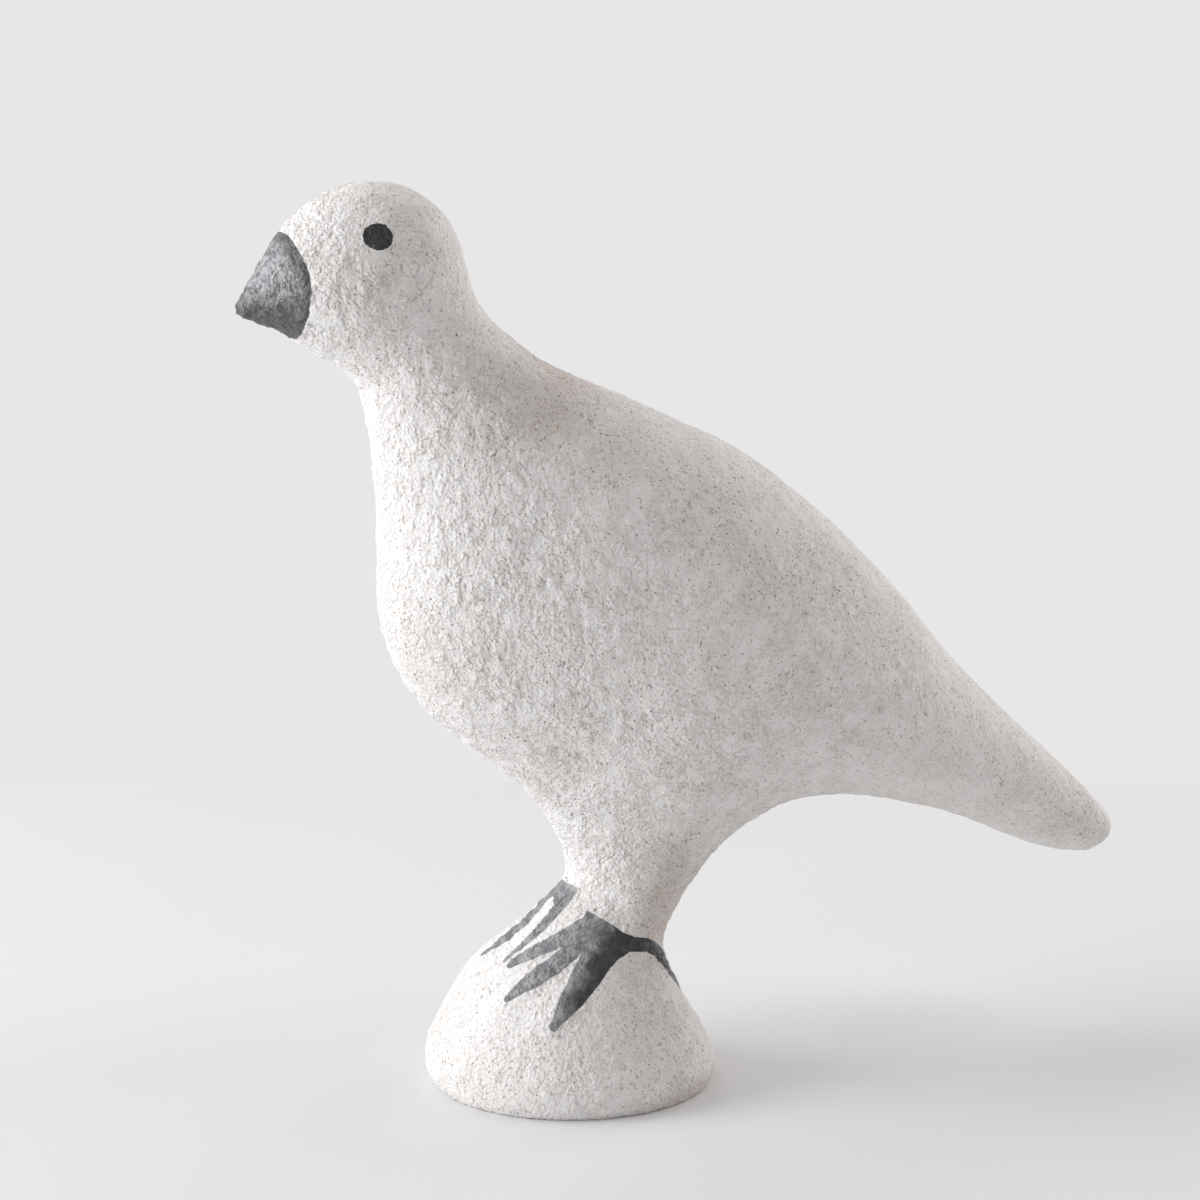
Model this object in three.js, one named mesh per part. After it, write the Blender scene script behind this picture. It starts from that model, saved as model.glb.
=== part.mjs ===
// Papier-mache bird standing on a low mound, made as one piece. Millimetres, +Z up.
// The bird faces -Y, +X is its left side, and the origin is the centre of the flat underside.
import * as THREE from "three";

// ---- Driving dimensions ----

// The trunk runs from the head down the neck and the back to the tail. Each station gives a
// point on the spine, the reach of the section above and below it, and its half width.
const TRUNK = [
  { name: "head", y: -67, z: 275, above: 23.6, below: 26, side: 24 },
  { name: "throat", y: -52, z: 254, above: 20.9, below: 25.8, side: 25 },
  { name: "neck", y: -36, z: 232, above: 26, below: 39.9, side: 31 },
  { name: "shoulders", y: -12, z: 205, above: 41, below: 73, side: 43 },
  { name: "breast", y: 15, z: 178, above: 54.5, below: 79.5, side: 53 },
  { name: "belly", y: 48, z: 152, above: 57, below: 61.7, side: 57 },
  { name: "rump", y: 85, z: 130, above: 50, below: 39.5, side: 52 },
  { name: "tail_root", y: 120, z: 112, above: 35.5, below: 24.5, side: 42 },
  { name: "tail", y: 155, z: 95, above: 23, below: 17, side: 33 },
  { name: "tail_fan", y: 185, z: 80, above: 13.5, below: 15.5, side: 25 },
  { name: "tail_end", y: 198.5, z: 72.5, above: 9, below: 11.5, side: 20 },
];
const CROWN = 24; // the head's reach beyond its station, along the spine
const TAIL_TIP = 7; // the tail's reach beyond its last station

// The face is an egg pointing forward and down, the beak a tapering cone in front of it.
const FACE = { y: -71.8, z: 275, long: 31.2, tall: 26, side: 24, droop: 0.35 };
const BEAK = { y: -92.3, z: 270.3, tall: 18.8, side: 17, tipY: -113, tipZ: 262.5, tip: 2.4 };

// Both legs are one column, an ellipse-like section at each height.
const LEGS = [
  { z: 30, y: 16, fore: 15.5, side: 19 },
  { z: 45, y: 16, fore: 15.5, side: 19 },
  { z: 55, y: 17, fore: 18.5, side: 20 },
  { z: 65, y: 20, fore: 22, side: 21.5 },
  { z: 75, y: 24, fore: 25.5, side: 25 },
  { z: 90, y: 28.5, fore: 35.5, side: 31 },
  { z: 110, y: 31.9, fore: 44.1, side: 38 },
  { z: 130, y: 36, fore: 46, side: 44 },
];
const LEG_EDGE = 1.7; // 2 is a plain ellipse, less draws the sides out to a soft edge

const MOUND = [
  { z: 0, y: 0, r: 47.5 },
  { z: 8, y: -1, r: 49.8 },
  { z: 20, y: -1.9, r: 45.2 },
  { z: 30, y: -2.4, r: 39.6 },
  { z: 41, y: -2, r: 32.6 },
  { z: 53, y: 2.5, r: 21.9 },
  { z: 66, y: 6, r: 9 },
];

// The toes are low ridges running down the mound from the ankles, each a path over its surface.
const TOES = {
  left_inner: [[17, -2, 57.5], [17.5, -10, 54], [15, -20, 49], [12, -28, 44]],
  left_middle: [[20, 1, 55.5], [22.5, -11, 49.5], [22.5, -23, 42], [19.5, -32, 35]],
  left_outer: [[22, 6, 53.5], [28.5, -4, 45.5], [33, -14, 37], [35, -21, 29]],
  left_back: [[22, 9, 52.5], [21, 17, 50], [17, 25, 46], [10, 36, 32]],
  right_inner: [[2, -5, 64.5], [5, -12, 59], [7.5, -21, 51.5], [9, -28, 45]],
  right_middle: [[-3, -4, 65], [-3, -13, 58.5], [-4, -22, 51], [-6, -31, 43.5]],
  right_outer: [[-17, 2, 58], [-22, -5, 51], [-27, -13, 43], [-30, -21, 35]],
  right_back: [[-22, 9, 52.5], [-21, 17, 50], [-17, 25, 46], [-10, 36, 32]],
};
const TOE = { rise: 1.5, reach: 5.5 };

const BLEND = { face: 14, beak: 3, legs: 26, mound: 5 };

// Size of the mesh cells at each height: fine round the feet and the head.
const CELLS = [
  { z: 0, size: 6.4 },
  { z: 16, size: 5.8 },
  { z: 30, size: 3.8 },
  { z: 62, size: 3.7 },
  { z: 80, size: 4.8 },
  { z: 128, size: 9.6 },
  { z: 220, size: 9.6 },
  { z: 250, size: 5 },
  { z: 320, size: 4.8 },
];
const GRID = { top: 316, left: -18, right: 18, front: -30, behindMound: 14, back: 34 };
const TAIL_CELL = 7.4; // front to back, behind the mound

const RELAX_ROUNDS = 5;

// ---- Curves through stations ----

// A smooth curve through rows of numbers, one row per knot. Gives a row for any parameter.
function curveThrough(knots, rows) {
  const last = knots.length - 1;
  const slope = (i, j, m) => (rows[j][m] - rows[i][m]) / (knots[j] - knots[i]);
  const tangents = rows.map((row, i) =>
    row.map((_, m) => {
      if (i === 0) return slope(0, 1, m);
      if (i === last) return slope(last - 1, last, m);
      const before = knots[i] - knots[i - 1];
      const after = knots[i + 1] - knots[i];
      return (slope(i - 1, i, m) * after + slope(i, i + 1, m) * before) / (before + after);
    }),
  );
  return (at) => {
    let i = 0;
    while (i < last - 1 && at > knots[i + 1]) i++;
    const span = knots[i + 1] - knots[i];
    const t = THREE.MathUtils.clamp((at - knots[i]) / span, 0, 1);
    const keep = 1 - t;
    return rows[i].map(
      (from, m) =>
        from * (1 + 2 * t) * keep * keep +
        tangents[i][m] * span * t * keep * keep +
        rows[i + 1][m] * t * t * (3 - 2 * t) -
        tangents[i + 1][m] * span * t * t * keep,
    );
  };
}

function byHeight(stations, ...keys) {
  return curveThrough(
    stations.map((s) => s.z),
    stations.map((s) => keys.map((k) => s[k])),
  );
}

const SPINE_STEP = 2.5;

function spineSamples() {
  const knots = [0];
  for (let i = 1; i < TRUNK.length; i++) {
    const run = Math.hypot(TRUNK[i].y - TRUNK[i - 1].y, TRUNK[i].z - TRUNK[i - 1].z);
    knots.push(knots[i - 1] + run);
  }
  const curve = curveThrough(
    knots,
    TRUNK.map((s) => [s.y, s.z, s.above, s.below, s.side]),
  );
  const count = Math.ceil(knots[knots.length - 1] / SPINE_STEP);
  const total = knots[knots.length - 1];
  return Array.from({ length: count + 1 }, (_, i) => curve((total * i) / count));
}

// ---- The form: a field that is negative inside the bird ----

// About the distance to an ellipsoid with these half axes.
function ellipsoid(a, b, c, ra, rb, rc) {
  const inner = Math.hypot(a / ra, b / rb, c / rc);
  const outer = Math.hypot(a / ra ** 2, b / rb ** 2, c / rc ** 2);
  return outer > 1e-9 ? (inner * (inner - 1)) / outer : -Math.min(ra, rb, rc);
}

function blend(a, b, width) {
  const overlap = Math.max(width - Math.abs(a - b), 0) / width;
  return Math.min(a, b) - (overlap * overlap * width) / 4;
}

const spine = spineSamples();

function trunk(x, y, z) {
  let nearest = Infinity;
  let at = 0;
  let t = 0;
  for (let i = 0; i + 1 < spine.length; i++) {
    const [y0, z0] = spine[i];
    const dy = spine[i + 1][0] - y0;
    const dz = spine[i + 1][1] - z0;
    const along = ((y - y0) * dy + (z - z0) * dz) / (dy * dy + dz * dz);
    const u = THREE.MathUtils.clamp(along, 0, 1);
    const away = (y - y0 - u * dy) ** 2 + (z - z0 - u * dz) ** 2;
    if (away < nearest) {
      nearest = away;
      at = i;
      t = u;
    }
  }
  const [cy, cz, above, below, side] = spine[at].map((v, m) => v + t * (spine[at + 1][m] - v));
  const dy = spine[at + 1][0] - spine[at][0];
  const dz = spine[at + 1][1] - spine[at][1];
  const step = Math.hypot(dy, dz);
  const up = (-(y - cy) * dz + (z - cz) * dy) / step;
  const along = ((y - cy) * dy + (z - cz) * dz) / step;
  return ellipsoid(x, up, along, side, up > 0 ? above : below, at === 0 ? CROWN : TAIL_TIP);
}

function face(x, y, z) {
  const c = Math.cos(FACE.droop);
  const s = Math.sin(FACE.droop);
  const along = c * (y - FACE.y) + s * (z - FACE.z);
  const across = -s * (y - FACE.y) + c * (z - FACE.z);
  return ellipsoid(x, along, across, FACE.side, FACE.long, FACE.tall);
}

function beak(x, y, z) {
  const dy = BEAK.tipY - BEAK.y;
  const dz = BEAK.tipZ - BEAK.z;
  const length = Math.hypot(dy, dz);
  const along = ((y - BEAK.y) * dy + (z - BEAK.z) * dz) / length;
  const across = ((y - BEAK.y) * dz - (z - BEAK.z) * dy) / length;
  // Behind its base the beak keeps its full size and ends inside the head.
  const t = THREE.MathUtils.clamp(along / length, -1, 1);
  const taper = Math.max(t, 0);
  const tall = THREE.MathUtils.lerp(BEAK.tall, BEAK.tip, taper);
  const side = THREE.MathUtils.lerp(BEAK.side, BEAK.tip, taper);
  const slope = (BEAK.tall - BEAK.tip) / length;
  return ellipsoid(x, across, along - t * length, side, tall, BEAK.tip) / Math.hypot(1, slope);
}

const toeLines = Object.values(TOES).flatMap((path) =>
  path.slice(1).map((end, i) => new THREE.Line3(new THREE.Vector3(...path[i]), new THREE.Vector3(...end))),
);
const legLine = byHeight(LEGS, "y", "fore", "side");
const moundLine = byHeight(MOUND, "y", "r");

function legs(x, y, z) {
  const [cy, fore, side] = legLine(z);
  const u = Math.abs(x) / side;
  const v = Math.abs(y - cy) / fore;
  const level = (u ** LEG_EDGE + v ** LEG_EDGE) ** (1 / LEG_EDGE);
  const scale = Math.min(side, fore);
  return Math.max((level - 1) * scale, z - LEGS[LEGS.length - 1].z, LEGS[0].z - z);
}

function mound(x, y, z) {
  const [cy, r] = moundLine(z);
  const slope = (moundLine(z - 1)[1] - moundLine(z + 1)[1]) / 2;
  const side = (Math.hypot(x, y - cy) - r) / Math.hypot(1, slope);
  return Math.max(side, z - MOUND[MOUND.length - 1].z);
}

// How far the toes lift the surface at a point.
function toes(x, y, z) {
  const point = new THREE.Vector3(x, y, z);
  const nearest = new THREE.Vector3();
  let away = TOE.reach;
  for (const line of toeLines) {
    line.closestPointToPoint(point, true, nearest);
    away = Math.min(away, nearest.distanceTo(point));
  }
  return TOE.rise * THREE.MathUtils.smoothstep(1 - away / TOE.reach, 0, 1);
}

function bird(x, y, z) {
  let d = blend(trunk(x, y, z), face(x, y, z), BLEND.face);
  d = blend(d, beak(x, y, z), BLEND.beak);
  d = blend(d, legs(x, y, z), BLEND.legs);
  return blend(d, mound(x, y, z), BLEND.mound) - toes(x, y, z);
}

// ---- Skin: a closed mesh on the surface where the field is zero ----

const cellAt = byHeight(CELLS, "size");

// Levels of grid points, the floor half way between the first two.
function gridLevels() {
  const levels = [-cellAt(0)[0] / 2, cellAt(0)[0] / 2];
  while (levels[levels.length - 1] < GRID.top) {
    const z = levels[levels.length - 1];
    levels.push(z + cellAt(z)[0]);
  }
  return levels;
}

function gridPoints(levels) {
  const points = [];
  for (const z of levels) {
    const [size] = cellAt(z);
    for (let j = GRID.front; j <= GRID.back; j++)
      for (let i = GRID.left; i <= GRID.right; i++) {
        const beyond = Math.max(0, j - GRID.behindMound);
        const y = (j - beyond) * size + beyond * Math.max(size, TAIL_CELL);
        points.push([i * size, y, z]);
      }
  }
  return points;
}

// A grid face whose corners are inside and outside by turns would pinch the surface, so the
// corner nearest the surface changes sides until no such face is left.
function unpinch(value, strides, isLast) {
  let pinched = true;
  while (pinched) {
    pinched = false;
    for (let at = 0; at < value.length; at++)
      for (let axis = 0; axis < 3; axis++) {
        const other = (axis + 1) % 3;
        if (isLast(at, axis) || isLast(at, other)) continue;
        const p = strides[axis];
        const q = strides[other];
        const corners = [at, at + p, at + p + q, at + q];
        const inside = corners.map((c) => value[c] < 0);
        const byTurns = inside[0] === inside[2] && inside[1] === inside[3];
        if (!byTurns || inside[0] === inside[1]) continue;
        const nearest = corners.reduce((a, b) => (Math.abs(value[b]) < Math.abs(value[a]) ? b : a));
        value[nearest] *= -1;
        pinched = true;
      }
  }
}

// The surface as quads, open at the floor, where its rim is the cells of the first level.
function skin(field) {
  const levels = gridLevels();
  const nodes = gridPoints(levels);
  const nx = GRID.right - GRID.left + 1;
  const ny = GRID.back - GRID.front + 1;
  const nz = levels.length;
  const strides = [1, nx, nx * ny];
  const value = nodes.map(([x, y, z]) => field(x, y, Math.max(z, levels[1])));
  const counts = [nx, ny, nz];
  unpinch(value, strides, (at, axis) => Math.floor(at / strides[axis]) % counts[axis] === counts[axis] - 1);
  const index = (i, j, k) => (k * ny + j) * nx + i;

  // One vertex in each cell that the surface crosses, at the middle of its crossings.
  const vertexOf = new Map();
  const cells = [];
  for (let k = 0; k + 1 < nz; k++)
    for (let j = 0; j + 1 < ny; j++)
      for (let i = 0; i + 1 < nx; i++) {
        const corner = index(i, j, k);
        const crossings = [];
        for (let axis = 0; axis < 3; axis++)
          for (let side = 0; side < 4; side++) {
            const p = (side & 1) * strides[(axis + 1) % 3];
            const q = (side >> 1) * strides[(axis + 2) % 3];
            const from = corner + p + q;
            const to = from + strides[axis];
            if (value[from] < 0 === value[to] < 0) continue;
            const t = value[from] / (value[from] - value[to]);
            crossings.push(nodes[from].map((c, m) => c + t * (nodes[to][m] - c)));
          }
        if (!crossings.length) continue;
        const middle = [0, 1, 2].map((m) => crossings.reduce((s, c) => s + c[m], 0) / crossings.length);
        vertexOf.set(corner, cells.length);
        cells.push({ middle, onRim: k === 0 });
      }

  // One quad round each grid edge that the surface crosses.
  const quads = [];
  for (let k = 1; k + 1 < nz; k++)
    for (let j = 1; j + 1 < ny; j++)
      for (let i = 1; i + 1 < nx; i++) {
        const here = index(i, j, k);
        for (let axis = 0; axis < 3; axis++) {
          const inside = value[here] < 0;
          if (inside === value[here + strides[axis]] < 0) continue;
          const p = strides[(axis + 1) % 3];
          const q = strides[(axis + 2) % 3];
          const ring = [here, here - p, here - p - q, here - q].map((c) => vertexOf.get(c));
          quads.push(inside ? ring : ring.reverse());
        }
      }

  // Only the vertices in use are kept.
  const kept = [...new Set(quads.flat())];
  const renumbered = new Map(kept.map((v, n) => [v, n]));
  return {
    points: kept.map((v) => cells[v].middle),
    quads: quads.map((quad) => quad.map((v) => renumbered.get(v))),
    rim: new Set(kept.filter((v) => cells[v].onRim).map((v) => renumbered.get(v))),
  };
}

const PROBE = 0.2; // step for measuring the field's slope
const SETTLE_STEPS = 2;

// Moves a point onto the surface; a point of the rim stays on the floor.
function settle(field, p, onRim) {
  if (onRim) p[2] = 0;
  for (let step = 0; step < SETTLE_STEPS; step++) {
    const slope = [0, 1, 2].map((m) => {
      if (onRim && m === 2) return 0;
      const ahead = p.map((c, n) => (n === m ? c + PROBE : c));
      const behind = p.map((c, n) => (n === m ? c - PROBE : c));
      return (field(...ahead) - field(...behind)) / (2 * PROBE);
    });
    const size = slope.reduce((s, g) => s + g * g, 0);
    const d = field(...p);
    slope.forEach((g, m) => {
      p[m] -= (d * g) / size;
    });
  }
}

// Evens out the mesh while keeping its points on the surface.
function relax(field, { points, quads, rim }) {
  const near = points.map(() => new Set());
  for (const quad of quads)
    quad.forEach((v, i) => {
      for (const n of [quad[(i + 1) % 4], quad[(i + 3) % 4]])
        if (!rim.has(v) || rim.has(n)) near[v].add(n);
    });
  points.forEach((p, v) => settle(field, p, rim.has(v)));
  for (let round = 0; round < RELAX_ROUNDS; round++) {
    const moved = points.map((p, v) => {
      const around = [...near[v]].map((n) => points[n]);
      return p.map((c, m) => (c + around.reduce((s, a) => s + a[m], 0) / around.length) / 2);
    });
    moved.forEach((p, v) => {
      settle(field, p, rim.has(v));
      points[v] = p;
    });
  }
}

// Each quad as two triangles, split along its shorter diagonal where that edge is free.
function trianglesOf({ points, quads }) {
  const apart = (a, b) => Math.hypot(...points[a].map((c, m) => c - points[b][m]));
  const edge = (a, b) => Math.min(a, b) * points.length + Math.max(a, b);
  const taken = new Set(quads.flatMap((q) => q.map((a, i) => edge(a, q[(i + 1) % 4]))));
  return quads.flatMap(([a, b, c, d]) => {
    const shorter = apart(a, c) < apart(b, d);
    const first = shorter ? !taken.has(edge(a, c)) : taken.has(edge(b, d));
    taken.add(first ? edge(a, c) : edge(b, d));
    return first ? [a, b, c, a, c, d] : [a, b, d, b, c, d];
  });
}

// The flat underside: a fan from its centre to the rim.
function underside(triangles, centre) {
  const key = (a, b) => `${a},${b}`;
  const edges = new Map();
  for (let i = 0; i < triangles.length; i += 3)
    for (let m = 0; m < 3; m++) {
      const a = triangles[i + m];
      const b = triangles[i + ((m + 1) % 3)];
      edges.set(key(a, b), [a, b]);
    }
  return [...edges.values()]
    .filter(([a, b]) => !edges.has(key(b, a)))
    .flatMap(([a, b]) => [b, a, centre]);
}

const surface = skin(bird);
relax(bird, surface);
const sides = trianglesOf(surface);
const centre = surface.points.length;
const points = [...surface.points, [0, 0, 0]];

const geometry = new THREE.BufferGeometry();
geometry.setAttribute("position", new THREE.Float32BufferAttribute(points.flat(), 3));
geometry.setIndex([...sides, ...underside(sides, centre)]);

const mesh = new THREE.Mesh(
  geometry,
  new THREE.MeshStandardMaterial({ color: 0xe9e6e2, roughness: 0.95, metalness: 0 }),
);
mesh.name = "bird";

const group = new THREE.Group();
group.add(mesh);
export default group;
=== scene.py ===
# A papier-mache bird: off-white paper pulp, with a grey painted beak, eyes and feet.
# Metres, +Z up, and the bird faces -Y. Numbers in names that end in _MM, and every length in the
# relief and the paint, are millimetres.
import math

import bmesh
import bpy
import numpy as np
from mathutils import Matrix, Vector


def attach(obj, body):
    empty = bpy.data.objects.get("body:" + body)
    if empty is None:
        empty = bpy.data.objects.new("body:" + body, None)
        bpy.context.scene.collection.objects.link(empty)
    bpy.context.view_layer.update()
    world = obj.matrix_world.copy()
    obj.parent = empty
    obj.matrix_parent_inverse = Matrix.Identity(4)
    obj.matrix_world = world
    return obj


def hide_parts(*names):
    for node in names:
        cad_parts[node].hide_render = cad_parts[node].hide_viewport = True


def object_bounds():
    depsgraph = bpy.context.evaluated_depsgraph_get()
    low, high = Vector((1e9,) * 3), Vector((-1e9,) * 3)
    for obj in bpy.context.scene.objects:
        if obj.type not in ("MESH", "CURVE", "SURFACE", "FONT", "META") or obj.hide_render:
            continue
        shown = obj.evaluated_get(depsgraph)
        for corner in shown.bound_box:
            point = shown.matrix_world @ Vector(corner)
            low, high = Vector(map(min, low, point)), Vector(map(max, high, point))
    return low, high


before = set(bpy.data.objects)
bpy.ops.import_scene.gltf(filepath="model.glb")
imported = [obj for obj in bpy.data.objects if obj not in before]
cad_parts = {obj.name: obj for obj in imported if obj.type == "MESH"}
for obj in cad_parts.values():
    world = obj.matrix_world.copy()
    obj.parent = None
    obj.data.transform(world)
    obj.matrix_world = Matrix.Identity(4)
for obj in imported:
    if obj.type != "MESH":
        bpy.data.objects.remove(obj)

MM = 0.001
CAD_BOX = [list(corner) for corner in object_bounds()]

# Skin: the CAD form rounded, cut into small even faces, and split finer along the paint's edges.
WELD_MM = 0.01
CREASE_ANGLE = math.radians(45)
ROUNDING_LEVELS = 2
VOXEL_MM = 1.5
RELAX_SHARE, RELAX_TIMES = 0.5, 4
REFINE_MM, REFINE_CUTS = 2.0, 2

# Relief of the skin: the size of each kind of form, and its height.
SWELL_MM, SWELL_HIGH_MM = 27, 0.42
RIPPLE_MM, RIPPLE_HIGH_MM = 12, 0.3
LUMP_MM, LUMP_HIGH_MM = 6.0, 0.5
CRUMB_MM, CRUMB_HIGH_MM = 3.9, 0.5
WRINKLE_MM, WRINKLE_HIGH_MM = 8.5, 0.12
DRIFT_MM, DRIFT_REACH_MM = 5.5, 2.0
FLAT_MM, FLAT_SHARE = 9.5, 0.7
FORM_LEVEL = 0.6  # how far up a lump the plain form lies
PAINT_FILLS = 0.35  # the share of the lumps that paint hides
FLOOR_TOUCH_MM, FLOOR_EASE_MM = 0.3, 3.0  # flat on the floor, and clear of it

# Relief of the material's finest forms: heights in millimetres.
LUMP_BUMP, CRUMB_BUMP, DRIFT_BUMP, GRAIN_BUMP, PIT_BUMP = 0.46, 0.24, 0.48, 0.085, -0.22

# Colours of the bare pulp. The grey for the creases between lumps is partly grey pulp and partly
# painted shade.
PULP_DULL, PULP_PALE = (0.86, 0.835, 0.822, 1), (0.895, 0.876, 0.866, 1)
CREASE_GREY_AND_SHADE, HOLLOW_TAN = (0.60, 0.55, 0.52, 1), (0.62, 0.50, 0.42, 1)
# The stain tan is partly fibre stain and partly painted shade; the seam brown is fibres along the
# folds.
STAIN_TAN_AND_SHADE, SEAM_BROWN = (0.70, 0.635, 0.595, 1), (0.42, 0.26, 0.16, 1)
PIT_GREY, PIT_BROWN = (0.10, 0.09, 0.085, 1), (0.30, 0.19, 0.13, 1)
WIDE_PIT_GREY = (0.17, 0.155, 0.145, 1)

# Colours of the grey paint, each where it lies full and where it is worn. On the feet the darker
# pair is painted shade, for their back and outer edges, and the paler pair is painted light, for
# their front.
SHADED_FOOT_PAINT = (0.030, 0.032, 0.036, 1), (0.060, 0.062, 0.068, 1)
LIT_FOOT_PAINT = (0.20, 0.205, 0.215, 1), (0.36, 0.365, 0.375, 1)
EYE_PAINT = (0.022, 0.023, 0.026, 1), (0.042, 0.044, 0.048, 1)
# The beak's pale colours are painted light for its upper side, and its dark colour is painted shade
# below.
LIT_BEAK_PAINT = (0.17, 0.173, 0.18, 1), (0.46, 0.465, 0.475, 1)
BEAK_SHADE = (0.042, 0.044, 0.048, 1)
PAINT_EDGE_MM = 0.12
BARE_ROUGHNESS, PAINT_ROUGHNESS = 0.9, 0.42
PULP_IOR = 1.5

# Camera: the bird's left side, a little from the front, seen slightly from above.
AZIMUTH = math.radians(68.0)
PITCH = math.radians(8.5)
DISTANCE_MM, HEIGHT_MM, SLIDE_MM = 937.0, 305.0, 9.6
LENS_MM, SENSOR_MM = 85.0, 36.0
CLIP_NEAR, CLIP_FAR = 0.05, 20

# Floor: how far it runs behind the bird, and its reach to the sides and forwards in metres.
WALL_BEHIND_MM = 474.0
FLOOR_REACH = 3.0
FLOOR_TONES = (0.78, 0.785, 0.79, 1), (0.82, 0.825, 0.83, 1)

# Lamps: name, degrees round from the camera's left towards the camera, degrees up, watts, colour.
LAMPS = [
    ("window", 0, 30, 13.5, (0.955, 0.98, 1.0)),
    ("window_low", 20, 5, 17.5, (0.965, 0.985, 1.0)),
    ("window_high", -60, 50, 3.6, (1, 1, 1)),
    ("far_wall", 180, 50, 5.5, (1, 1, 1)),
    ("far_low", 225, 10, 10.5, (1.0, 0.975, 0.965)),
]
LAMP_SIZE, LAMP_DISTANCE = 1.0, 1.7
LAMP_AIM = (0, 0.03, 0.15)
GLOW_COLOUR, GLOW_STRENGTH = (1, 0.97, 0.96, 1), 0.385
WALL_COLOUR = (0.80, 0.80, 0.80, 1)

# Painted feet. Each stroke is a centre line of (x, y, z, half width) points. The toes run down
# from the leg, and the apex, ankle and webs fill in between them.
TOES = {
    "left_apex": [(14, 0.2, 61, 0.6), (18.6, -1, 57.6, 4.0)],
    "left_ankle": [
        (14.5, 0.8, 60.3, 0.8), (18, 4.5, 56.5, 3.2), (21, 8, 53.5, 3.1), (22.5, 10.5, 52.5, 3.0),
    ],
    "left_inner": [
        (18.5, -3, 57.3, 4.2), (18.3, -9, 55.3, 3.5), (17, -16, 52.3, 3.1),
        (15.2, -21.5, 49.6, 3.0), (13.4, -27, 46, 1.8),
    ],
    "left_middle": [
        (21, -4, 54.5, 2.6), (22.9, -9.8, 50.6, 3.2), (23.7, -15.8, 47.2, 3.5),
        (23.5, -23, 42.8, 3.2), (22, -31.5, 36.7, 1.1),
    ],
    "left_outer": [
        (23.2, 1.4, 53.4, 4.6), (27.9, -2.2, 48.4, 5.4), (31.2, -7.4, 43.9, 5.1),
        (33.8, -12.6, 38.8, 4.2), (36.1, -20.6, 29.9, 1.5),
    ],
    "left_web": [(23.2, 8, 51.5, 4.2), (25, 4.5, 50, 3.5), (27, 1.5, 48.5, 3.5)],
    "left_back": [
        (23.8, 8, 52.2, 3.0), (23.4, 13.3, 51, 2.6), (22, 18.8, 49.9, 2.3),
        (19.4, 23.7, 46.7, 2.3), (16.9, 27.3, 42.2, 2.5), (13.7, 34.4, 32.3, 1.3),
    ],
    "right_inner": [
        (5, -2.5, 67, 2.7), (5.6, -5, 64.2, 2.6), (8, -10.6, 59.4, 1.9),
        (9.4, -17, 54.2, 1.6), (9.8, -28, 46.4, 0.9),
    ],
    "right_middle": [
        (1.5, -3, 67, 3.0), (-2, -3.5, 66.8, 3.0), (-3.6, -8.3, 62.6, 2.2),
        (-1.6, -12.5, 59.6, 2.4), (-0.8, -17.5, 55.7, 2.4), (-1.4, -22.4, 51.8, 2.6),
        (-3.2, -27, 48.2, 1.9), (-4.4, -30.7, 45.2, 0.9),
    ],
    "right_web": [(4.3, -6.3, 63.8, 2.3), (2, -4, 65.5, 3.0), (-8, -4, 62, 4.6), (-17, 1, 58, 4.6)],
    "right_outer": [
        (-17, 1, 58, 4.6), (-23, -5, 51, 5.0), (-28, -12, 43.5, 4.2), (-31.5, -20, 34.5, 1.8),
    ],
    "right_back": [
        (-20, 7, 54.5, 3.2), (-22.5, 14, 51, 2.7), (-21, 20, 49, 2.6),
        (-17.5, 27, 42, 3.0), (-14.7, 33.8, 33, 1.4),
    ],
}
TOE_BLEND = 0.9
# Upper edge of each foot's paint: z at places y along the leg.
FOOT_TOP = [
    (-8, 66), (0.2, 61.6), (3.9, 59.3), (7.3, 57.2), (10.2, 54.8), (13.2, 53.5), (18.4, 52.5),
    (24.1, 49.6), (40, 42),
]
FAR_FOOT_TOP = [
    (-8, 70), (-3, 69), (0, 67.6), (4, 62), (8, 57.5), (13, 54), (24, 50), (40, 42),
]
# Painted eyes: a round spot on each side, which EYE_SQUASH makes a little lower than it is long.
EYE = (24.6, -73.9, 286.5)
EYE_RADIUS, EYE_SQUASH = 4.8, 1.09
# Rear edge of the beak's paint: y at heights z, so the paint is where y is smaller.
BEAK_EDGE = [
    (250, -94.0), (255, -94.5), (262, -93.8), (270, -93.5), (277, -94.5), (282, -96.3),
    (286.5, -97.8), (290, -100),
]


class Gradients:
    """Seeded noise in three dimensions, about -0.8 to 0.8, with features one unit apart."""

    def __init__(self, seed):
        draw = np.random.default_rng(seed)
        self.order = np.concatenate([draw.permutation(256)] * 3)
        spin = draw.normal(size=(256, 3))
        self.slopes = spin / np.linalg.norm(spin, axis=1)[:, None]

    def __call__(self, points):
        corner = np.floor(points).astype(int)
        inside = points - corner
        ease = inside**3 * (inside * (inside * 6 - 15) + 10)
        corner &= 255
        total = np.zeros(len(points))
        for i in (0, 1):
            for j in (0, 1):
                for k in (0, 1):
                    step = np.array([i, j, k])
                    at = corner + step
                    pick = self.order[self.order[self.order[at[:, 0]] + at[:, 1]] + at[:, 2]]
                    share = np.prod(np.where(step, ease, 1 - ease), axis=1)
                    total += share * np.einsum("ij,ij->i", self.slopes[pick], inside - step)
        return total * 1.5


def smooth_between(value, low, high):
    """0 below low, 1 above high, and an easy curve between them."""
    t = np.clip((value - low) / (high - low), 0, 1)
    return t * t * (3 - 2 * t)


def curve(pairs, at):
    """The value at each place on a line through (place, value) pairs."""
    places, values = zip(*pairs)
    return np.interp(at, places, values)


def patches(seed, p, size, contrast):
    """Large soft patches, 0 to 1."""
    return 0.5 + 0.5 * np.clip(Gradients(seed)(p / size) * contrast, -1, 1)


def cloud(p, y, y_reach, z, z_reach):
    """A soft cloud, 1 in the middle, round a place that is given by y and z."""
    return np.exp(-(((p[:, 1] - y) / y_reach) ** 2) - ((p[:, 2] - z) / z_reach) ** 2)


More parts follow.
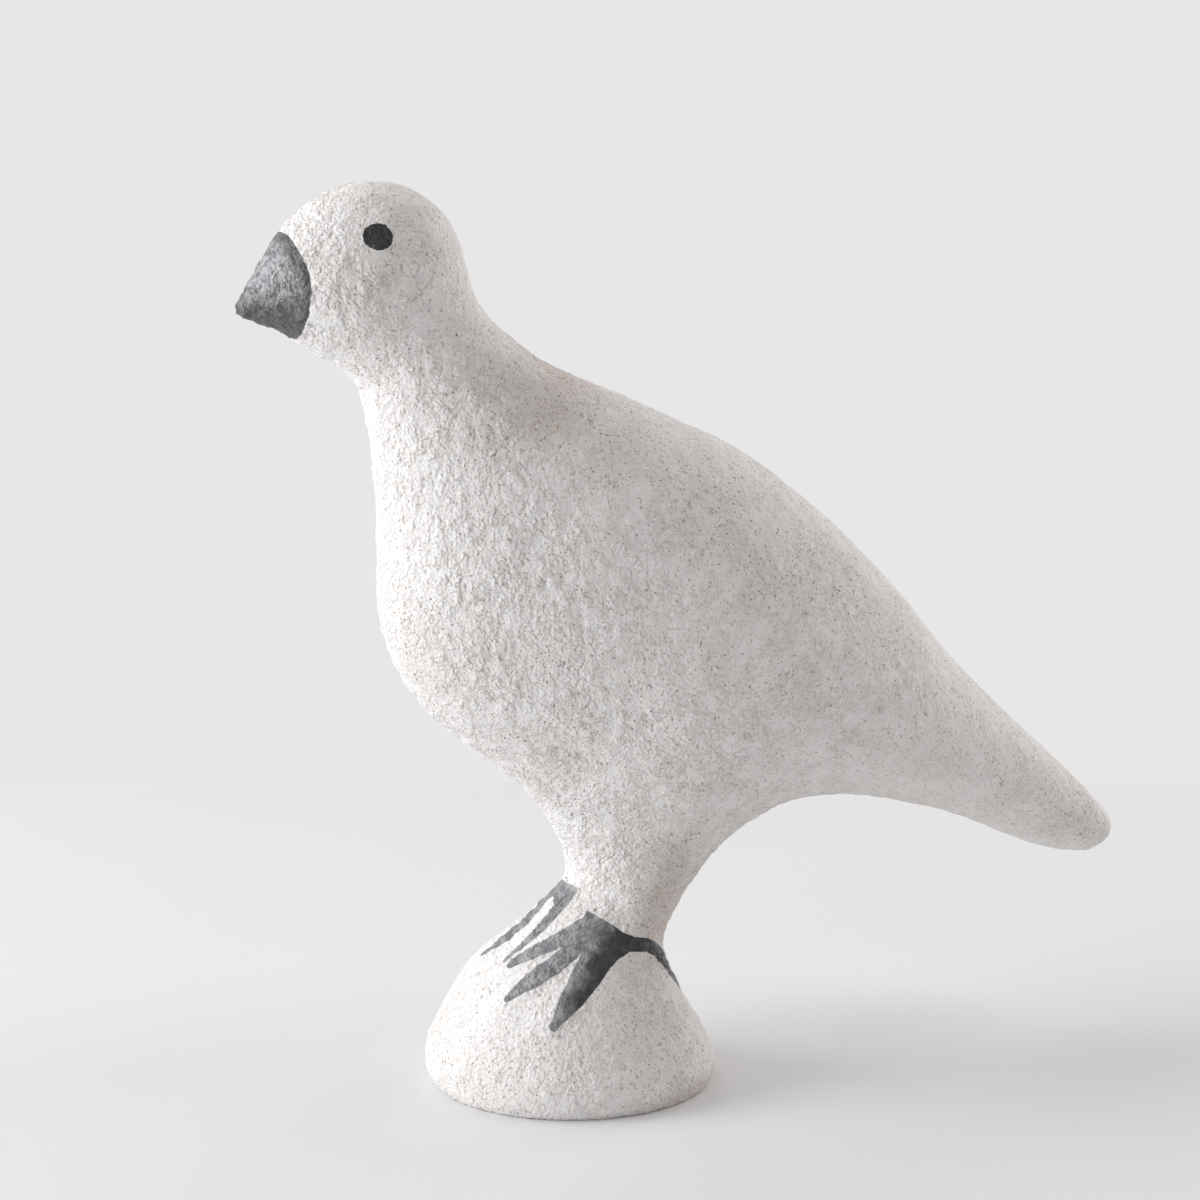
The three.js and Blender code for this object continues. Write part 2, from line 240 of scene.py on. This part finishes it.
def even_mesh(node):
    """A copy of a CAD node as one smooth skin of small, even faces, with its base edge kept."""
    mesh = node.data.copy()
    mesh.materials.clear()
    shape = bmesh.new()
    shape.from_mesh(mesh)
    bmesh.ops.remove_doubles(shape, verts=shape.verts, dist=WELD_MM * MM)
    crease = shape.edges.layers.float.new("crease_edge")
    for edge in shape.edges:
        if edge.is_manifold and edge.calc_face_angle() > CREASE_ANGLE:
            edge[crease] = 1.0
    shape.to_mesh(mesh)
    shape.free()
    carrier = bpy.data.objects.new("carrier", mesh)
    bpy.context.scene.collection.objects.link(carrier)
    rounding = carrier.modifiers.new("rounding", "SUBSURF")
    rounding.levels = rounding.render_levels = ROUNDING_LEVELS
    remesh = carrier.modifiers.new("skin", "REMESH")
    remesh.mode, remesh.voxel_size, remesh.use_smooth_shade = "VOXEL", VOXEL_MM * MM, True
    relax = carrier.modifiers.new("relax", "SMOOTH")
    relax.factor, relax.iterations = RELAX_SHARE, RELAX_TIMES
    bpy.context.view_layer.update()
    ready = carrier.evaluated_get(bpy.context.evaluated_depsgraph_get())
    skin = bpy.data.meshes.new_from_object(ready)
    bpy.data.objects.remove(carrier)
    bpy.data.meshes.remove(mesh)
    skin.name = "bird_pulp"
    return skin


def read(mesh, what, source=None):
    """An n by 3 array of a mesh's vertex places or normals."""
    values = np.zeros(len(mesh.vertices) * 3)
    (source or mesh.vertices).foreach_get(what, values)
    return values.reshape(-1, 3)


def roughness_of(p, normal):
    """How lumpy the pulp is, 0 to 1: lumpy on the face and breast, smoothed by hand on the back."""
    y, z = p[:, 1], p[:, 2]
    back = smooth_between(normal @ np.array([0, 0.5, 0.87]), 0.05, 0.85)
    back *= smooth_between(y, -78, -40) * smooth_between(z, 90, 120)
    tail = smooth_between(y, 60, 150)
    mound = smooth_between(-z, -75, -50)
    left = (1 - 0.62 * back) * (1 - 0.45 * tail) * (1 - 0.3 * mound)
    return np.clip(left * (0.62 + 0.5 * patches(11, p, 24, 1.6)), 0, 1)


def relief(p, rough):
    """Height of the pulp over the plain form."""
    drift = np.stack([Gradients(20 + i)(p / DRIFT_MM) for i in range(3)], axis=1) * DRIFT_REACH_MM
    q = p + drift
    swell = SWELL_HIGH_MM * Gradients(30)(p / SWELL_MM)
    swell = swell + RIPPLE_HIGH_MM * Gradients(31)(p / RIPPLE_MM)
    lumps = smooth_between(np.abs(Gradients(32)(q / LUMP_MM)), 0, 0.42)
    crumbs = smooth_between(np.abs(Gradients(33)(q / CRUMB_MM)), 0, 0.42)
    wrinkle = 1 - smooth_between(np.abs(Gradients(34)(q / WRINKLE_MM)), 0.0, 0.12)
    flat = smooth_between(Gradients(35)(p / FLAT_MM), 0.12, 0.4)
    loose = LUMP_HIGH_MM * (lumps - FORM_LEVEL) + CRUMB_HIGH_MM * (crumbs - FORM_LEVEL)
    return swell + rough * (1 - FLAT_SHARE * flat) * (loose + WRINKLE_HIGH_MM * wrinkle)


def toe_distance(p, line):
    """Distance from a tapering stroke's edge, negative inside it."""
    best = np.full(len(p), 1e3)
    for start, end in zip(line, line[1:]):
        a, b = np.array(start[:3], float), np.array(end[:3], float)
        along = np.clip((p - a) @ (b - a) / ((b - a) @ (b - a)), 0, 1)
        gap = np.linalg.norm(p - (a + along[:, None] * (b - a)), axis=1)
        best = np.minimum(best, gap - (start[3] + along * (end[3] - start[3])))
    return best


def foot_distance(p, side, top):
    """Distance from the edge of one painted foot: its strokes run together, cut off above."""
    reach = np.full(len(p), 1e3)
    for name, line in TOES.items():
        if not name.startswith(side):
            continue
        toe = toe_distance(p, line)
        mixing = np.clip(0.5 + 0.5 * (toe - reach) / TOE_BLEND, 0, 1)
        reach = toe * (1 - mixing) + reach * mixing - TOE_BLEND / 2 * mixing * (1 - mixing)
    return np.maximum(reach, p[:, 2] - curve(top, p[:, 1]))


def paint_distances(p):
    """Distance from the edge of each painted mark, negative inside it."""
    left, right = foot_distance(p, "left", FOOT_TOP), foot_distance(p, "right", FAR_FOOT_TOP)
    across, along = np.abs(p[:, 0]) - EYE[0], p[:, 1] - EYE[1]
    up = (p[:, 2] - EYE[2]) * EYE_SQUASH
    eye = np.sqrt(across**2 + along**2 + up**2) - EYE_RADIUS
    beak = p[:, 1] - curve(BEAK_EDGE, p[:, 2])
    return {"feet": np.minimum(left, right), "eye": eye, "beak": beak}


def stain_and_shade_of(p):
    """Where the brown fibres of the paper show through most, 0 to 1, and where painted shade
    darkens the nape under the head, the notch behind the legs and the base's lower rear rim.
    """
    nape = cloud(p, -18, 20, 235, 20)
    ankle = cloud(p, 26, 14, 66, 22)
    hem = smooth_between(-p[:, 2], -9, -1) * smooth_between(p[:, 1], -20, 35)
    patch = patches(41, p, 30, 1.8)
    return np.clip(0.25 + 0.4 * patch + 0.55 * nape + 0.5 * ankle + 0.6 * hem, 0, 1)


def refine(mesh):
    """Splits the faces along the paint's edges, so that narrow toes keep their outline."""
    marks = paint_distances(read(mesh, "co") / MM)
    near = np.minimum.reduce([np.abs(distance) for distance in marks.values()])
    shape = bmesh.new()
    shape.from_mesh(mesh)
    shape.verts.ensure_lookup_table()
    fine = [e for e in shape.edges if max(near[v.index] for v in e.verts) < REFINE_MM]
    bmesh.ops.subdivide_edges(shape, edges=fine, cuts=REFINE_CUTS, use_grid_fill=True)
    shape.to_mesh(mesh)
    shape.free()
    for polygon in mesh.polygons:
        polygon.use_smooth = True


def store(mesh, name, values):
    """Keeps one number a vertex on the mesh, for its material."""
    kept = mesh.attributes.new(name, "FLOAT", "POINT")
    kept.data.foreach_set("value", values.astype(np.float32))


def make_bird():
    """The whole bird: the CAD form as even skin, with the relief of the pulp inside the CAD box."""
    mesh = even_mesh(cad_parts["bird"])
    refine(mesh)
    p = read(mesh, "co") / MM
    normal = read(mesh, "vector", mesh.vertex_normals)
    rough = roughness_of(p, normal)
    marks = paint_distances(p)
    painted = smooth_between(-np.minimum.reduce([marks["feet"], marks["eye"]]), -0.5, 1.0)
    height = relief(p, rough * (1 - PAINT_FILLS * painted))
    standing = smooth_between(p[:, 2], FLOOR_TOUCH_MM, FLOOR_EASE_MM)
    moved = p + normal * (height * standing)[:, None]
    low, high = np.array(CAD_BOX[0]) / MM, np.array(CAD_BOX[1]) / MM
    moved = np.clip(moved, low, high)
    moved[p[:, 2] < FLOOR_TOUCH_MM, 2] = 0
    mesh.vertices.foreach_set("co", (moved * MM).ravel())
    mesh.update()
    store(mesh, "rough", rough)
    store(mesh, "stain_and_shade", stain_and_shade_of(p))
    for name, distance in marks.items():
        store(mesh, name, distance)
    bird = bpy.data.objects.new("bird_pulp", mesh)
    bpy.context.scene.collection.objects.link(bird)
    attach(bird, "root")
    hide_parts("bird")
    return bird


class Nodes:
    """Builds a material's or a world's node tree out of short calls."""

    def __init__(self, tree):
        self.tree = tree
        tree.nodes.clear()

    def make(self, kind, inputs=None, **settings):
        """A new node, with its settings, and with its inputs set or linked."""
        node = self.tree.nodes.new("ShaderNode" + kind)
        for name, value in settings.items():
            setattr(node, name, value)
        for name, value in (inputs or {}).items():
            self.feed(node.inputs[name], value)
        return node

    def feed(self, socket, value):
        if isinstance(value, bpy.types.NodeSocket):
            self.tree.links.new(value, socket)
        else:
            socket.default_value = value

    def output(self, kind, shader):
        """The tree's output node, fed by the last shader."""
        self.feed(self.make(kind).inputs["Surface"], shader.outputs[0])

    def math(self, operation, a, b=0.0):
        return self.make("Math", {0: a, 1: b}, operation=operation).outputs[0]

    def chain(self, operation, terms):
        total = terms[0]
        for term in terms[1:]:
            total = self.math(operation, total, term)
        return total

    def add(self, *terms):
        return self.chain("ADD", terms)

    def times(self, *terms):
        return self.chain("MULTIPLY", terms)

    def minus(self, a, b):
        return self.math("SUBTRACT", a, b)

    def most(self, *terms):
        return self.chain("MAXIMUM", terms)

    def between(self, value, low, high, start=0.0, end=1.0):
        """An easy curve from start, where the value is low, to end, where it is high."""
        inputs = {
            "Value": value, "From Min": low, "From Max": high, "To Min": start, "To Max": end,
        }
        node = self.make("MapRange", inputs, interpolation_type="SMOOTHSTEP")
        return node.outputs["Result"]

    def noise(self, at, size, detail=0.0, colour=False):
        """Noise from 0 to 1: one number, or three as a colour."""
        inputs = {"Vector": at, "Scale": 1 / size, "Detail": detail, "Roughness": 0.5}
        node = self.make("TexNoise", inputs, noise_dimensions="3D")
        return node.outputs[1 if colour else 0]

    def signed(self, at, size, detail=0.0):
        """Noise from about -1 to 1."""
        return self.times(self.minus(self.noise(at, size, detail), 0.5), 2.0)

    def sway(self, at, size, reach):
        """The same place, moved about at random by up to about half of reach."""
        push = self.noise(at, size, 1.0, colour=True)
        centred = {0: push, 1: (0.5, 0.5, 0.5)}
        push = self.make("VectorMath", centred, operation="SUBTRACT").outputs[0]
        moved = {0: push, 1: (reach * 2, reach * 2, reach * 2), 2: at}
        return self.make("VectorMath", moved, operation="MULTIPLY_ADD").outputs[0]

    def cells(self, at, size):
        """One random point in each cell of a grid: the distance to the nearest, and its colour."""
        inputs = {"Vector": at, "Scale": 1 / size}
        return self.make("TexVoronoi", inputs, feature="F1", voronoi_dimensions="3D").outputs

    def domes(self, at, size):
        """Rounded lumps, 1 on top of each and near 0 in the creases between them."""
        return self.between(self.cells(at, size)["Distance"], 0.8, 0.05)

    def specks(self, at, size, radius, share):
        """Round specks of mixed sizes in a share of the cells, and a random tone for each."""
        cell = self.cells(at, size)
        parts = self.make("SeparateColor", {"Color": cell["Color"]}).outputs
        reach = self.times(self.between(parts[0], 0, 1, 0.45, 1.0), radius / size)
        gap = self.minus(cell["Distance"], reach)
        spot = self.between(gap, 0.1 / size, -0.1 / size)
        return self.times(spot, self.math("LESS_THAN", parts[1], share)), parts[2]

    def blend(self, share, a, b):
        node = self.make("Mix", data_type="RGBA", blend_type="MIX")
        self.feed(node.inputs[0], share)
        self.feed(node.inputs[6], a)
        self.feed(node.inputs[7], b)
        return node.outputs[2]

    def attribute(self, name):
        node = self.make("Attribute", attribute_name=name, attribute_type="GEOMETRY")
        return node.outputs["Fac"]

    def mark(self, name, ragged):
        """A paint mask from a stored distance, with an edge that wanders by ragged."""
        distance = self.add(self.attribute(name), ragged)
        return self.between(distance, PAINT_EDGE_MM, -PAINT_EDGE_MM)


def new_material(name):
    material = bpy.data.materials.new(name)
    material.use_nodes = True
    return material, Nodes(material.node_tree)


def pulp_material():
    """Chalky paper pulp with crumbs, pits and fibres, and the grey paint on it."""
    material, n = new_material("painted_pulp")
    place = n.make("TexCoord").outputs["Object"]
    at = n.make("VectorMath", {0: place, "Scale": 1 / MM}, operation="SCALE").outputs[0]
    rough, stain_and_shade = n.attribute("rough"), n.attribute("stain_and_shade")

    # Drifting copies of the place keep the lumps and pits from being round or regular.
    swayed = n.sway(at, 2.6, 1.5)
    torn = n.sway(at, 0.8, 0.6)

    lump = n.domes(swayed, 2.5)
    crumb = n.domes(torn, 1.25)
    drift = n.signed(swayed, 4.2, 2.0)
    grain = n.signed(torn, 0.9, 1.0)
    fold = n.math("ABSOLUTE", n.signed(swayed, 2.2, 1.0))
    rubbed = n.between(n.noise(at, 8.0, 1.5), 0.50, 0.62)
    crowd = n.between(n.add(n.noise(at, 6.5, 2.0), n.times(stain_and_shade, 0.10)), 0.48, 0.64)
    pit_share = n.times(
        n.between(crowd, 0, 1, 0.4, 1.0),
        n.minus(1.15, n.times(rough, 0.8)),
        n.between(stain_and_shade, 0.2, 0.8, 0.45, 1.0),
    )
    small_pits, pit_tone = n.specks(torn, 1.15, 0.30, pit_share)
    wide_pits = n.specks(torn, 2.9, 0.44, 0.22)[0]
    pits = n.most(small_pits, wide_pits)

    # Paint masks, with edges that wander as a brush's do over a rough ground.
    wander = n.times(n.signed(at, 2.0, 1.0), 0.26)
    nick = n.times(n.signed(at, 1.1, 1.0), 0.45)
    feet = n.mark("feet", wander)
    eye = n.mark("eye", n.add(wander, nick))
    beak = n.mark("beak", wander)
    painted = n.most(feet, eye, beak)

    # Fine relief. Lumps stand up where the pulp is loose, and grain shows where it is smoothed.
    loose = n.times(rough, n.minus(1.0, n.times(rubbed, 0.75)))
    height = n.add(
        n.times(lump, loose, LUMP_BUMP),
        n.times(crumb, n.times(n.add(loose, 0.55), CRUMB_BUMP)),
        n.times(drift, n.times(n.add(loose, 0.15), DRIFT_BUMP)),
        n.times(grain, n.times(n.minus(1.5, loose), GRAIN_BUMP)),
        n.times(pits, PIT_BUMP),
    )
    bump = n.make("Bump", {"Height": height, "Distance": MM, "Strength": 1.0}).outputs[0]

    # Bare pulp: chalky off-white, with tan fibres in the hollows and seams, and dark pits. The
    # creases between lumps are greyed, partly by grey pulp and partly by painted shade.
    tone = n.noise(at, 16.0, 2.0)
    ground = n.blend(n.between(tone, 0.35, 0.65), PULP_DULL, PULP_PALE)
    # Painted shade, with grey pulp, in the creases between the lumps.
    crease_grey_and_shade = n.between(n.add(lump, n.times(crumb, 0.6)), 0.75, 0.1)
    crease_grey_and_shade = n.times(crease_grey_and_shade, n.add(loose, 0.1))
    ground = n.blend(n.times(crease_grey_and_shade, 0.26), ground, CREASE_GREY_AND_SHADE)
    low = n.between(n.add(n.times(drift, 0.8), n.times(grain, 0.5)), 0.0, -0.4)
    ground = n.blend(n.times(low, n.between(stain_and_shade, 0.25, 1.0, 0.0, 0.4)), ground, HOLLOW_TAN)
    # Partly fibre stain and partly painted shade: tan darkening at the nape, behind the legs and
    # along the base's rear rim.
    ground = n.blend(n.between(stain_and_shade, 0.5, 1.05, 0.0, 0.75), ground, STAIN_TAN_AND_SHADE)
    seam = n.between(fold, 0.07, 0.01)
    clump = n.between(n.add(n.noise(at, 1.3, 1.0), n.times(stain_and_shade, 0.2)), 0.56, 0.68)
    ground = n.blend(n.times(seam, clump, 0.6), ground, SEAM_BROWN)
    pit_colour = n.blend(pit_tone, PIT_GREY, PIT_BROWN)
    ground = n.blend(n.times(small_pits, 0.72), ground, pit_colour)
    ground = n.blend(n.times(wide_pits, 0.5), ground, WIDE_PIT_GREY)

    # Grey paint: fuller in the hollows, rubbed lighter on the crumbs. The feet have painted light
    # and shade: paler grey in front, where the light falls on them, and darker grey behind and on
    # their outer edges.
    streak = n.noise(swayed, 3.4, 2.0)
    worn = n.between(n.add(streak, n.times(crumb, 0.12), n.times(drift, 0.1)), 0.42, 0.68)
    x, y, z = n.make("SeparateXYZ", {0: at}).outputs
    # Painted light on the feet: 1 towards the front, 0 behind and out along the left foot's outer
    # side.
    across = n.add(y, n.times(x, 1.2), n.times(n.signed(at, 5.0, 2.0), 7.0))
    painted_light_share = n.between(across, 33.0, 24.0)
    foot_coat = n.blend(painted_light_share, n.blend(worn, *SHADED_FOOT_PAINT), n.blend(worn, *LIT_FOOT_PAINT))
    eye_coat = n.blend(worn, *EYE_PAINT)

    # The beak has painted light and shade: paler above, where the light falls on it, and dark
    # below, where it turns away. It is dark along its rear edge too.
    dab = n.times(n.noise(torn, 1.6, 2.0), 0.55)
    dab = n.add(dab, n.times(streak, 0.45), n.times(crumb, 0.10))
    beak_coat = n.blend(n.between(dab, 0.40, 0.66), *LIT_BEAK_PAINT)
    # Painted shade on the beak's lower side.
    painted_shade_below = n.between(n.add(z, n.times(n.signed(at, 6.0, 2.0), 8.0)), 272.0, 260.0)
    rear = n.add(n.attribute("beak"), n.times(n.signed(at, 4.0, 1.0), 3.0))
    rear = n.between(rear, -6.0, 0.0)
    beak_coat = n.blend(n.times(n.most(painted_shade_below, rear), 0.78), beak_coat, BEAK_SHADE)

    colour = ground
    for mask, coat in ((feet, foot_coat), (eye, eye_coat), (beak, beak_coat)):
        colour = n.blend(mask, colour, coat)
    dull = n.between(painted, 0.0, 1.0, BARE_ROUGHNESS, PAINT_ROUGHNESS)
    dull = n.add(dull, n.times(grain, 0.06))
    inputs = {"Base Color": colour, "Roughness": dull, "Normal": bump}
    surface = n.make("BsdfPrincipled", inputs)
    surface.inputs["IOR"].default_value = PULP_IOR
    n.output("OutputMaterial", surface)
    return material


def floor_material():
    material, n = new_material("pale_floor")
    at = n.make("TexCoord").outputs["Object"]
    tone = n.blend(n.noise(at, 0.3, 3.0), *FLOOR_TONES)
    n.output("OutputMaterial", n.make("BsdfPrincipled", {"Base Color": tone, "Roughness": 0.8}))
    return material


def view_axes():
    """Level unit vectors to the camera's right and ahead of it."""
    right = Vector((math.cos(AZIMUTH), math.sin(AZIMUTH), 0))
    ahead = Vector((-math.sin(AZIMUTH), math.cos(AZIMUTH), 0))
    return right, ahead


def make_camera():
    right, ahead = view_axes()
    lens = bpy.data.cameras.new("camera")
    lens.lens, lens.sensor_width = LENS_MM, SENSOR_MM
    lens.clip_start, lens.clip_end = CLIP_NEAR, CLIP_FAR
    camera = bpy.data.objects.new("camera", lens)
    camera.location = (right * SLIDE_MM - ahead * DISTANCE_MM + Vector((0, 0, HEIGHT_MM))) * MM
    look = ahead * math.cos(PITCH) - Vector((0, 0, math.sin(PITCH)))
    camera.rotation_euler = look.to_track_quat("-Z", "Y").to_euler()
    bpy.context.scene.collection.objects.link(camera)
    bpy.context.scene.camera = camera


def make_floor():
    """A pale floor, whose far edge makes the level line behind the bird."""
    right, ahead = view_axes()
    rear, front = ahead * (WALL_BEHIND_MM * MM), -ahead * FLOOR_REACH
    side = right * FLOOR_REACH
    corners = [rear - side, rear + side, front + side, front - side]
    mesh = bpy.data.meshes.new("floor")
    mesh.from_pydata([tuple(corner) for corner in corners], [], [(3, 2, 1, 0)])
    mesh.materials.append(floor_material())
    floor = bpy.data.objects.new("floor", mesh)
    bpy.context.scene.collection.objects.link(floor)


def lamp_direction(turn, rise):
    """From the bird to a lamp: degrees round from the camera's left towards the camera, and up."""
    right, ahead = view_axes()
    turn, rise = math.radians(turn), math.radians(rise)
    level = -right * math.cos(turn) - ahead * math.sin(turn)
    return level * math.cos(rise) + Vector((0, 0, math.sin(rise)))


def make_light(name, turn, rise, power, colour):
    """A soft square lamp that faces the bird."""
    direction = lamp_direction(turn, rise)
    lamp = bpy.data.lights.new(name, "AREA")
    lamp.shape, lamp.size, lamp.energy, lamp.color = "SQUARE", LAMP_SIZE, power, colour
    light = bpy.data.objects.new(name, lamp)
    light.location = Vector(LAMP_AIM) + direction * LAMP_DISTANCE
    light.rotation_euler = (-direction).to_track_quat("-Z", "Y").to_euler()
    light.visible_camera = False
    bpy.context.scene.collection.objects.link(light)


def make_world():
    """A soft glow all round, and a plain pale wall where the camera looks past the floor."""
    world = bpy.data.worlds.new("studio")
    bpy.context.scene.world = world
    world.use_nodes = True
    n = Nodes(world.node_tree)
    seen = n.make("LightPath").outputs["Is Camera Ray"]
    glow = n.make("Background", {"Color": GLOW_COLOUR, "Strength": GLOW_STRENGTH})
    wall = n.make("Background", {"Color": WALL_COLOUR, "Strength": 1.0})
    both = n.make("MixShader", {0: seen})
    n.feed(both.inputs[1], glow.outputs[0])
    n.feed(both.inputs[2], wall.outputs[0])
    n.output("OutputWorld", both)


make_camera()
bird = make_bird()
bird.data.materials.append(pulp_material())
make_floor()
for lamp in LAMPS:
    make_light(*lamp)
make_world()
bpy.context.scene.view_settings.view_transform = "Standard"
